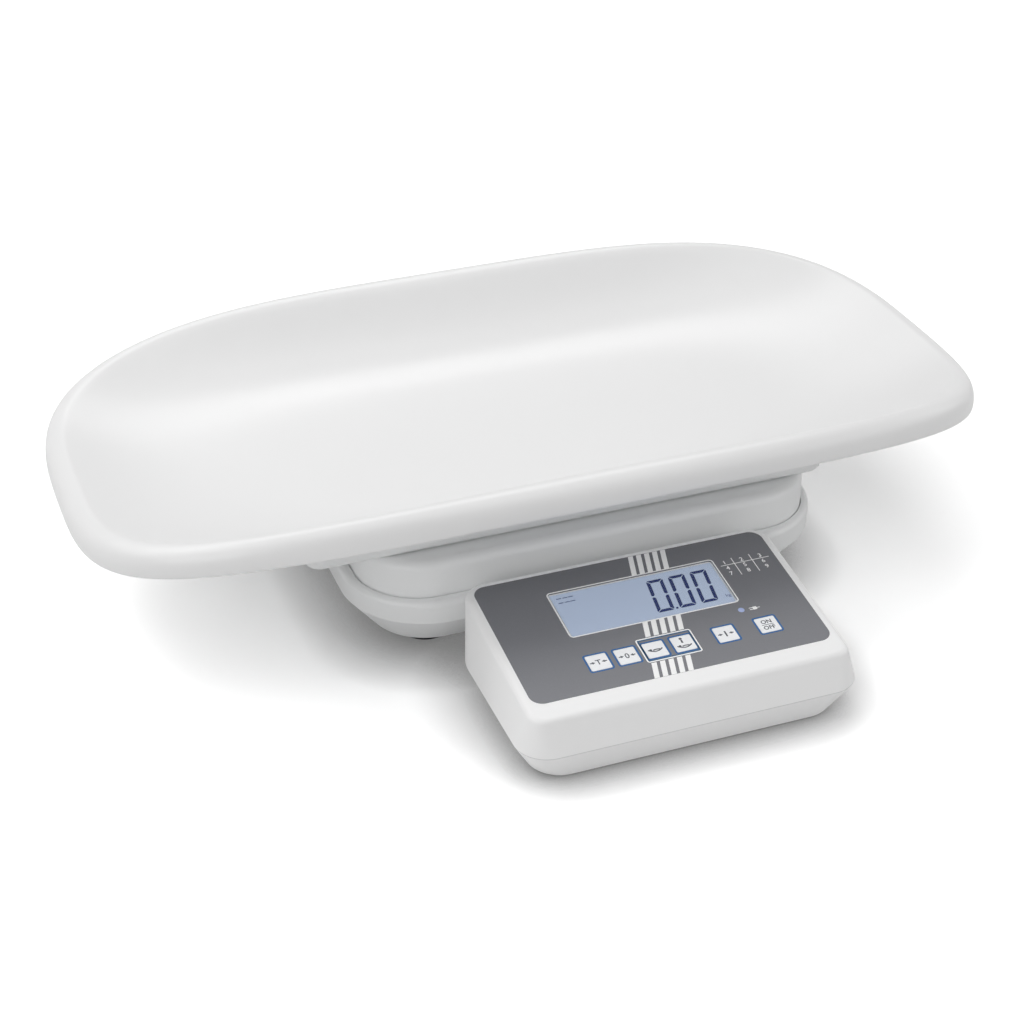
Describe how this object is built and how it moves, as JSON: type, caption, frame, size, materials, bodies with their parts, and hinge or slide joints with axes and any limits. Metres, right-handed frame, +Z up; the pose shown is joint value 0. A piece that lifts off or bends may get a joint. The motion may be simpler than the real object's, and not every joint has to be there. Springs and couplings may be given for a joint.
{
  "type": "digital baby weighing scale",
  "caption": "Trough-shaped baby tray on a load-cell platform with levelling feet, beside a wedge-shaped terminal with display, keys and sockets.",
  "frame": {"origin": "on the floor, at the middle of the plan of tray and terminal together", "axes": "+Z up, +X along the tray to the right as the keys are read, -Y towards the user"},
  "size_m": [0.6, 0.4149, 0.131],
  "materials": {
    "backlight": "white light guide",
    "base_plastic": "moulded ABS with a fine spark-eroded texture, light grey",
    "battery_sleeve": "printed shrink sleeve, plain dark",
    "bracket_plastic": "moulded ABS, light grey",
    "cell_aluminium": "machined and anodised aluminium",
    "chip_epoxy": "moulded epoxy",
    "circuit_board": "glass-fibre board with green solder mask",
    "contact_spring": "nickel-plated spring steel",
    "foot_steel": "zinc-plated steel stud",
    "frame_steel": "steel plate, powder-coated dark grey",
    "insert_brass": "turned brass",
    "key_film": "white printed key with a blue edge",
    "lamp_guide": "clear light guide, blue-violet",
    "lcd_cell": "liquid-crystal cell with a pale blue-grey reflector",
    "overlay_film": "screen-printed polyester film, dark grey, satin",
    "rubber_black": "moulded rubber, black",
    "screw_steel": "zinc-plated steel",
    "socket_metal": "nickel-plated brass",
    "socket_plastic": "black moulded socket",
    "switch_plastic": "black moulded switch",
    "terminal_plastic": "moulded ABS with a fine texture, off-white",
    "tray_plastic": "smooth moulded ABS, satin to glossy, off-white",
    "window_clear": "clear acrylic window"
  },
  "bodies": {
    "base": {"base_housing": "base_plastic", "base_frame": "frame_steel", "frame_screws": "screw_steel", "frame_spacer": "cell_aluminium", "frame_bolts": "screw_steel", "load_cell": "cell_aluminium", "overload_stops": "screw_steel", "foot_inserts": "insert_brass", "cable_grommet": "rubber_black", "terminal_bottom_shell": "terminal_plastic", "terminal_top_shell": "terminal_plastic", "terminal_screws": "screw_steel", "terminal_feet": "rubber_black", "keypad_overlay": "overlay_film", "lcd_window": "window_clear", "lcd_glass": "lcd_cell", "lcd_backlight": "backlight", "main_board": "circuit_board", "board_screws": "screw_steel", "board_chips": "chip_epoxy", "key_switches": "switch_plastic", "charge_lamp": "lamp_guide", "dc_jack": "socket_plastic", "signal_socket": "socket_metal", "socket_nuts": "socket_metal", "battery_cells": "battery_sleeve", "battery_contacts": "contact_spring", "battery_lid": "terminal_plastic", "lid_screws": "screw_steel"},
    "platform": {"platform_cover": "base_plastic", "cover_buffers": "rubber_black", "load_carrier": "frame_steel", "carrier_spacer": "cell_aluminium", "carrier_bolts": "screw_steel"},
    "weighing_tray": {"tray": "tray_plastic", "tray_bracket": "bracket_plastic", "bracket_screws": "screw_steel", "bracket_pads": "rubber_black"},
    "foot_front_left": {"foot_pad_front_left": "rubber_black", "foot_stud_front_left": "foot_steel"},
    "foot_front_right": {"foot_pad_front_right": "rubber_black", "foot_stud_front_right": "foot_steel"},
    "foot_back_left": {"foot_pad_back_left": "rubber_black", "foot_stud_back_left": "foot_steel"},
    "foot_back_right": {"foot_pad_back_right": "rubber_black", "foot_stud_back_right": "foot_steel"},
    "tare_key_cap": {"tare_key": "key_film"},
    "zero_key_cap": {"zero_key": "key_film"},
    "tray_key_cap": {"tray_key": "key_film"},
    "baby_key_cap": {"baby_key": "key_film"},
    "hold_key_cap": {"hold_key": "key_film"},
    "power_key_cap": {"power_key": "key_film"}
  },
  "joints": [
    {"name": "platform_travel", "type": "slide", "parent": "base", "child": "platform", "axis": [0, 0, 1], "range_m": [-0.0005, 0.0001], "stiffness_N_per_m": 400000, "springref_m": 0.00006, "deforming": ["load_cell"]},
    {"name": "tray_lift", "type": "slide", "parent": "platform", "child": "weighing_tray", "axis": [0, 0, 1], "range_m": [0, 0.06]},
    {"name": "foot_front_left_screw", "type": "slide", "parent": "base", "child": "foot_front_left", "axis": [0, 0, -1], "range_m": [0, 0.008]},
    {"name": "foot_front_right_screw", "type": "slide", "parent": "base", "child": "foot_front_right", "axis": [0, 0, -1], "range_m": [0, 0.008]},
    {"name": "foot_back_left_screw", "type": "slide", "parent": "base", "child": "foot_back_left", "axis": [0, 0, -1], "range_m": [0, 0.008]},
    {"name": "foot_back_right_screw", "type": "slide", "parent": "base", "child": "foot_back_right", "axis": [0, 0, -1], "range_m": [0, 0.008]},
    {"name": "tare_key_press", "type": "slide", "parent": "base", "child": "tare_key_cap", "axis": [0, 0.1201, -0.9928], "range_m": [0, 0.0004], "stiffness_N_per_m": 4000, "springref_m": -0.0001},
    {"name": "zero_key_press", "type": "slide", "parent": "base", "child": "zero_key_cap", "axis": [0, 0.1201, -0.9928], "range_m": [0, 0.0004], "stiffness_N_per_m": 4000, "springref_m": -0.0001},
    {"name": "tray_key_press", "type": "slide", "parent": "base", "child": "tray_key_cap", "axis": [0, 0.1201, -0.9928], "range_m": [0, 0.0004], "stiffness_N_per_m": 4000, "springref_m": -0.0001},
    {"name": "baby_key_press", "type": "slide", "parent": "base", "child": "baby_key_cap", "axis": [0, 0.1201, -0.9928], "range_m": [0, 0.0004], "stiffness_N_per_m": 4000, "springref_m": -0.0001},
    {"name": "hold_key_press", "type": "slide", "parent": "base", "child": "hold_key_cap", "axis": [0, 0.1201, -0.9928], "range_m": [0, 0.0004], "stiffness_N_per_m": 4000, "springref_m": -0.0001},
    {"name": "power_key_press", "type": "slide", "parent": "base", "child": "power_key_cap", "axis": [0, 0.1201, -0.9928], "range_m": [0, 0.0004], "stiffness_N_per_m": 4000, "springref_m": -0.0001}
  ]
}
